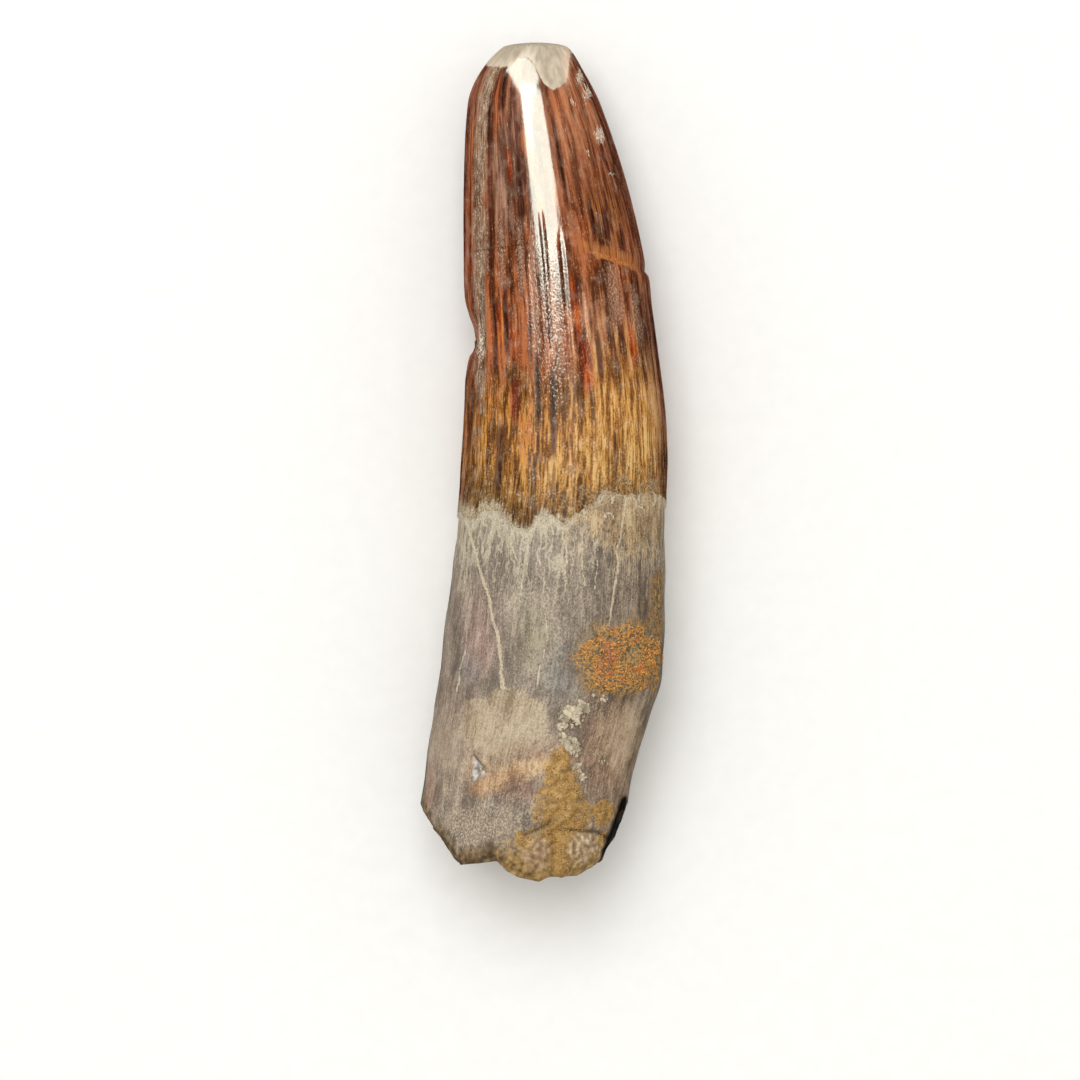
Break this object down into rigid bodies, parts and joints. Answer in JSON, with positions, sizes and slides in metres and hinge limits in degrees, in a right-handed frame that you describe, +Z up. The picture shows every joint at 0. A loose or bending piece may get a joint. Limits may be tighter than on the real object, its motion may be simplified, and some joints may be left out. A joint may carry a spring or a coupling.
{
  "type": "spinosaurus tooth",
  "caption": "fossil dinosaur tooth: a long, slightly curved, fluted conical crown with a worn tip on part of its root, broken off and filled with sandstone, lying on its side",
  "frame": {"origin": "under the middle of the tooth's bounding box, on the surface that it lies on", "axes": "+Y from the root break to the tip, +Z up, away from the surface, and +X to the convex side seen from above with the tip away from the viewer"},
  "size_m": [0.027, 0.092, 0.0188],
  "materials": {
    "fossil_tooth": "satin",
    "sandstone": "matte",
    "iron_crust": "matte"
  },
  "bodies": {
    "root": {"tooth": "fossil_tooth"}
  },
  "joints": []
}
